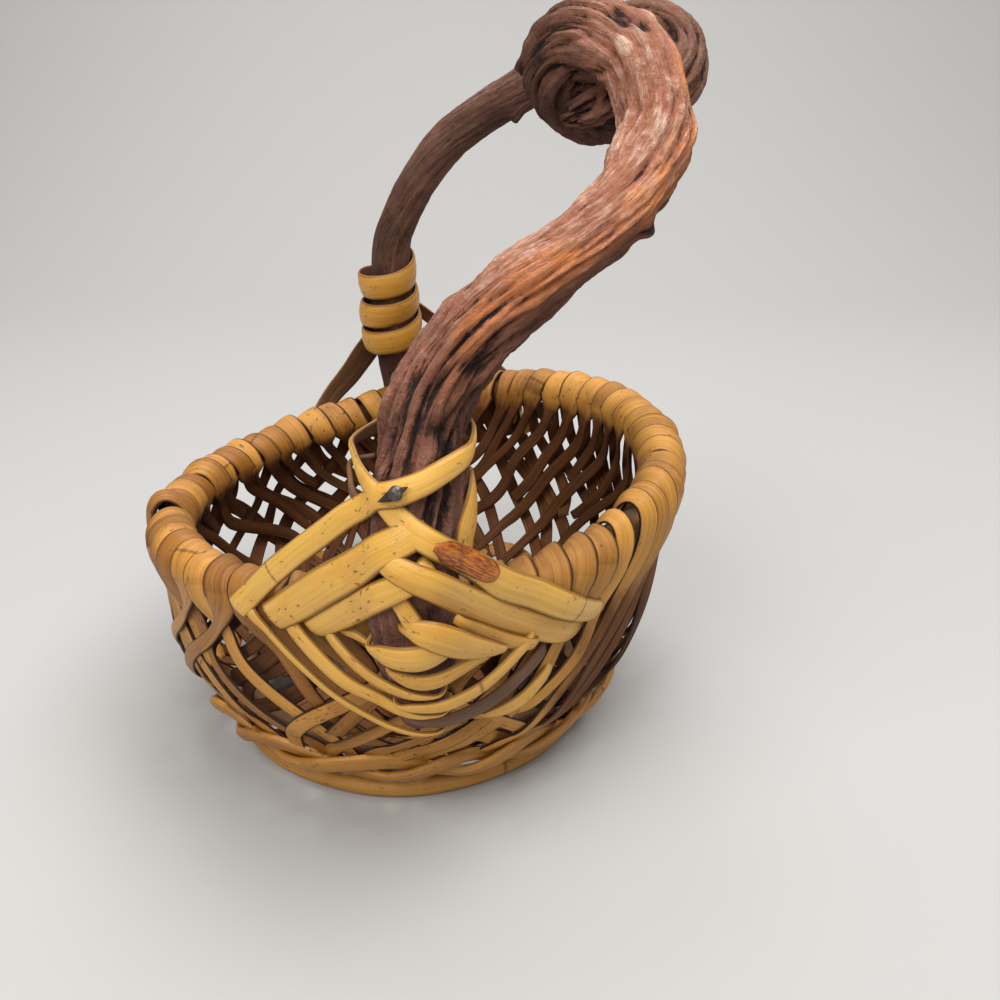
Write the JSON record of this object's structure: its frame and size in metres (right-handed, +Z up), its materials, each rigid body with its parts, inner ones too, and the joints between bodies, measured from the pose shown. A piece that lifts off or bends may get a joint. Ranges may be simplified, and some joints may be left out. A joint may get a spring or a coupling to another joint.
{
  "type": "handled basket",
  "caption": "Round open-weave cane basket with a tilted wrapped rim, crossed lashings front and back, and a gnarled vine handle that turns over in a curl at the top.",
  "frame": {"origin": "middle of the bounding box seen from above, at the height of the surface that the basket stands on", "axes": "+Z up, -Y towards the front lashing with the nail, +X to the right of someone who looks at that lashing"},
  "size_m": [0.2074, 0.2546, 0.2656],
  "materials": {
    "wall_cane": "peeled cane, honey brown outside and duller inside, softly glossy",
    "hoop_cane": "round cane, yellow brown, softly glossy with brown specks",
    "lashing_cane": "split cane, golden yellow, glossy on its bark side",
    "vine_bark": "rough dark brown bark with deep lengthwise grooves and rust coloured streaks",
    "nail_iron": "dull grey nail head"
  },
  "bodies": {
    "root": {"back_lash_collar": "lashing_cane", "back_lash_left_high": "lashing_cane", "back_lash_left_low": "lashing_cane", "back_lash_right_high": "lashing_cane", "back_lash_sling_1": "lashing_cane", "back_lash_sling_2": "lashing_cane", "back_lash_sling_3": "lashing_cane", "floor_hoop": "hoop_cane", "floor_slat_low_1": "hoop_cane", "floor_slat_low_2": "hoop_cane", "floor_slat_low_3": "hoop_cane", "floor_slat_top_1": "hoop_cane", "floor_slat_top_2": "hoop_cane", "floor_slat_top_3": "hoop_cane", "foot_hoop": "hoop_cane", "foot_strand_high": "hoop_cane", "foot_strand_low": "hoop_cane", "front_lash_left_high": "lashing_cane", "front_lash_left_low": "lashing_cane", "front_lash_loop": "lashing_cane", "front_lash_nail": "nail_iron", "front_lash_right_high": "lashing_cane", "front_lash_right_low": "lashing_cane", "front_lash_sling_1": "lashing_cane", "front_lash_sling_2": "lashing_cane", "front_lash_sling_3": "lashing_cane", "front_lash_sling_4": "lashing_cane", "front_lash_sling_5": "lashing_cane", "handle_vine": "vine_bark", "rim_hoop": "hoop_cane", "wall_strip_01": "wall_cane", "wall_strip_02": "wall_cane", "wall_strip_03": "wall_cane", "wall_strip_04": "wall_cane", "wall_strip_05": "wall_cane", "wall_strip_06": "wall_cane", "wall_strip_07": "wall_cane", "wall_strip_08": "wall_cane", "wall_strip_09": "wall_cane", "wall_strip_10": "wall_cane", "wall_strip_11": "wall_cane", "wall_strip_12": "wall_cane", "wall_strip_13": "wall_cane", "wall_strip_14": "wall_cane", "wall_strip_15": "wall_cane", "wall_strip_16": "wall_cane", "wall_strip_17": "wall_cane", "wall_strip_18": "wall_cane", "wall_strip_19": "wall_cane", "wall_strip_20": "wall_cane", "wall_strip_21": "wall_cane", "wall_strip_22": "wall_cane", "wall_strip_23": "wall_cane", "wall_strip_24": "wall_cane", "wall_strip_25": "wall_cane", "wall_strip_26": "wall_cane", "wall_strip_27": "wall_cane", "wall_strip_28": "wall_cane", "wall_strip_29": "wall_cane", "wall_strip_30": "wall_cane"}
  },
  "joints": []
}
